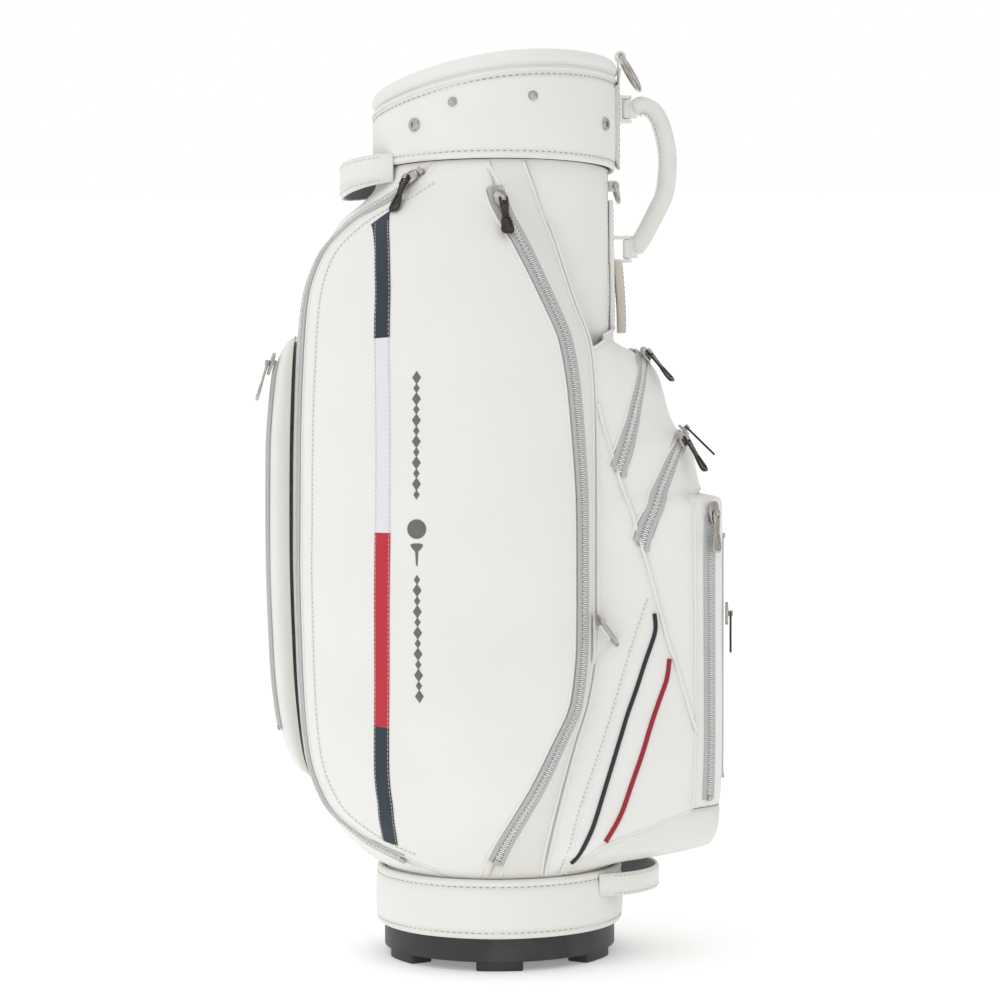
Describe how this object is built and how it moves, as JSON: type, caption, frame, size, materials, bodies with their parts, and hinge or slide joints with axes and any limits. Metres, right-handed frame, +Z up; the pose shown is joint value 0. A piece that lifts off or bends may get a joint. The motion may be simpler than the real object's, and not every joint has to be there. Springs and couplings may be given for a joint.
{
  "type": "golf staff bag",
  "caption": "Tall tubular golf bag with a moulded base, padded collar, divided mouth, full-length zipped leather pockets, handles and swinging rings.",
  "frame": {"origin": "centre of the tube on the floor under the feet", "axes": "+X towards the ball pocket, -Y the near apparel pocket, +Z up the tube"},
  "size_m": [0.4602, 0.347, 0.875],
  "materials": {
    "base_plastic": "fine moulded grain",
    "foot_rubber": "matt, ribbed",
    "leather_white": "pebbled synthetic leather",
    "tube_plastic": "smooth",
    "divider_fleece": "brushed fleece",
    "divider_lining": "woven lining",
    "nickel": "polished",
    "leather_gusset": "smooth leather",
    "grosgrain": "ribbed tape in navy, white and red blocks",
    "zip_tape": "woven tape with coil teeth",
    "leather_handle": "soft stitched leather",
    "leather_trim": "smooth leather"
  },
  "bodies": {
    "bag": {"base_moulding": "base_plastic", "foot_pads": "foot_rubber", "base_cuff": "leather_white", "body_tube": "tube_plastic", "body_cover": "leather_white", "collar_frame": "tube_plastic", "collar_cover": "leather_white", "rim_roll": "leather_white", "divider_top": "divider_fleece", "divider_sleeves": "divider_lining", "snap_studs": "nickel", "apparel_panel_near": "leather_white", "apparel_panel_far": "leather_white", "pocket_gussets": "leather_gusset", "spine_panel": "leather_white", "spine_pocket": "leather_white", "side_panel_near": "leather_white", "side_panel_far": "leather_white", "upper_gusset": "leather_white", "upper_pocket": "leather_white", "middle_pocket": "leather_white", "ball_pocket": "leather_white", "base_panel": "leather_white", "colour_tape": "grosgrain", "zip_near_left": "zip_tape", "zip_near_right": "zip_tape", "zips_far": "zip_tape", "zip_spine": "zip_tape", "zip_upper": "zip_tape", "zip_middle": "zip_tape", "zips_ball": "zip_tape", "handle_backplate": "leather_trim", "handle_anchors": "nickel", "spine_handle": "leather_handle", "base_handle": "leather_handle", "ring_tabs": "leather_trim"},
    "slider_near_left": {"slider_near_left": "nickel"},
    "puller_near_left": {"puller_near_left": "nickel"},
    "slider_near_right": {"slider_near_right": "nickel"},
    "puller_near_right": {"puller_near_right": "nickel"},
    "slider_far_left": {"slider_far_left": "nickel"},
    "puller_far_left": {"puller_far_left": "nickel"},
    "slider_far_right": {"slider_far_right": "nickel"},
    "puller_far_right": {"puller_far_right": "nickel"},
    "slider_spine": {"slider_spine": "nickel"},
    "puller_spine": {"puller_spine": "nickel"},
    "slider_upper": {"slider_upper": "nickel"},
    "puller_upper": {"puller_upper": "nickel"},
    "slider_middle_a": {"slider_middle_a": "nickel"},
    "puller_middle_a": {"puller_middle_a": "nickel"},
    "slider_middle_b": {"slider_middle_b": "nickel"},
    "puller_middle_b": {"puller_middle_b": "nickel"},
    "slider_ball": {"slider_ball": "nickel"},
    "puller_ball": {"puller_ball": "nickel"},
    "slider_front": {"slider_front": "nickel"},
    "puller_front": {"puller_front": "nickel"},
    "grab_handle": {"grab_handle": "leather_handle"},
    "towel_ring": {"towel_ring": "nickel"},
    "strap_ring_upper": {"strap_ring_upper": "nickel"},
    "strap_ring_lower": {"strap_ring_lower": "nickel"}
  },
  "joints": [
    {"name": "slider_near_left_travel", "type": "hinge", "parent": "bag", "child": "slider_near_left", "pos_m": [-0.16911, 0.09702, 0.96193], "axis": [0.4978, 0.7487, -0.4377], "range_deg": [0, 10.9]},
    {"name": "puller_near_left_swing", "type": "hinge", "parent": "slider_near_left", "child": "puller_near_left", "pos_m": [-0.08337, -0.09421, 0.7434], "axis": [-0.7476, 0.6642, 0], "range_deg": [0, 150]},
    {"name": "slider_near_right_travel", "type": "hinge", "parent": "bag", "child": "slider_near_right", "pos_m": [0.02814, 0.00941, 0.63865], "axis": [0.8887, 0.1025, 0.4469], "range_deg": [0, 21.2]},
    {"name": "puller_near_right_swing", "type": "hinge", "parent": "slider_near_right", "child": "puller_near_right", "pos_m": [0.00769, -0.13109, 0.71853], "axis": [-0.9653, -0.2611, 0], "range_deg": [0, 150]},
    {"name": "slider_far_left_travel", "type": "hinge", "parent": "bag", "child": "slider_far_left", "pos_m": [-0.16911, -0.09702, 0.96193], "axis": [-0.4978, 0.7487, 0.4377], "range_deg": [0, 10.9]},
    {"name": "puller_far_left_swing", "type": "hinge", "parent": "slider_far_left", "child": "puller_far_left", "pos_m": [-0.08337, 0.09421, 0.7434], "axis": [0.7476, 0.6642, 0], "range_deg": [0, 150]},
    {"name": "slider_far_right_travel", "type": "hinge", "parent": "bag", "child": "slider_far_right", "pos_m": [0.02814, -0.00941, 0.63865], "axis": [-0.8887, 0.1025, -0.4469], "range_deg": [0, 21.2]},
    {"name": "puller_far_right_swing", "type": "hinge", "parent": "slider_far_right", "child": "puller_far_right", "pos_m": [0.00769, 0.13109, 0.71853], "axis": [0.9653, -0.2611, 0], "range_deg": [0, 150]},
    {"name": "slider_spine_travel", "type": "hinge", "parent": "bag", "child": "slider_spine", "pos_m": [0.23577, 0.05917, 0.48226], "axis": [0.2029, -0.9792, -0.0019], "range_deg": [0, 10]},
    {"name": "puller_spine_swing", "type": "hinge", "parent": "slider_spine", "child": "puller_spine", "pos_m": [-0.21952, -0.03555, 0.57275], "axis": [-0.2447, 0.9696, 0], "range_deg": [0, 150]},
    {"name": "slider_upper_travel", "type": "hinge", "parent": "bag", "child": "slider_upper", "pos_m": [0.10844, 0.00179, 0.50311], "axis": [0.9257, 0.1782, -0.3338], "range_deg": [0, 31]},
    {"name": "puller_upper_swing", "type": "hinge", "parent": "slider_upper", "child": "puller_upper", "pos_m": [0.14656, -0.04314, 0.58071], "axis": [-0.4916, -0.8708, 0], "range_deg": [0, 150]},
    {"name": "slider_middle_a_travel", "type": "hinge", "parent": "bag", "child": "slider_middle_a", "pos_m": [0.15002, -0.02361, 0.44472], "axis": [0.8925, 0.0275, -0.4503], "range_deg": [0, 35.9]},
    {"name": "puller_middle_a_swing", "type": "hinge", "parent": "slider_middle_a", "child": "puller_middle_a", "pos_m": [0.18043, -0.06301, 0.49782], "axis": [-0.5408, -0.8411, 0], "range_deg": [0, 150]},
    {"name": "slider_middle_b_travel", "type": "hinge", "parent": "bag", "child": "slider_middle_b", "pos_m": [-0.08083, -0.00022, 0.45999], "axis": [-0.172, -0.0039, 0.9851], "range_deg": [0, 10.9]},
    {"name": "puller_middle_b_swing", "type": "hinge", "parent": "slider_middle_b", "child": "puller_middle_b", "pos_m": [0.18408, -0.0191, 0.50838], "axis": [-0.0667, -0.9978, 0], "range_deg": [0, 150]},
    {"name": "slider_ball_travel", "type": "slide", "parent": "bag", "child": "slider_ball", "axis": [-0.0078, 0.0019, -1], "range_m": [0, 0.24]},
    {"name": "puller_ball_swing", "type": "hinge", "parent": "slider_ball", "child": "puller_ball", "pos_m": [0.20823, -0.07147, 0.42646], "axis": [-0.6664, -0.7456, 0], "range_deg": [0, 150]},
    {"name": "slider_front_travel", "type": "slide", "parent": "bag", "child": "slider_front", "axis": [-0.0055, 0.0006, -1], "range_m": [0, 0.14]},
    {"name": "puller_front_swing", "type": "hinge", "parent": "slider_front", "child": "puller_front", "pos_m": [0.22516, -0.02326, 0.32851], "axis": [-0.0602, -0.9982, 0], "range_deg": [0, 150]},
    {"name": "grab_handle_swing", "type": "hinge", "parent": "bag", "child": "grab_handle", "pos_m": [0.1284, 0, 0.7505], "axis": [0, 0, 1], "range_deg": [-35, 35]},
    {"name": "towel_ring_swing", "type": "hinge", "parent": "bag", "child": "towel_ring", "pos_m": [0.1228, 0, 0.8695], "axis": [0, -1, 0], "range_deg": [0, 80]},
    {"name": "strap_ring_upper_swing", "type": "hinge", "parent": "bag", "child": "strap_ring_upper", "pos_m": [0.1165, 0, 0.744], "axis": [0, -1, 0], "range_deg": [-8, 120]},
    {"name": "strap_ring_lower_swing", "type": "hinge", "parent": "bag", "child": "strap_ring_lower", "pos_m": [0.10119, -0.12453, 0.31886], "axis": [0.564, 0, -0.8258], "range_deg": [-55, 55]}
  ]
}
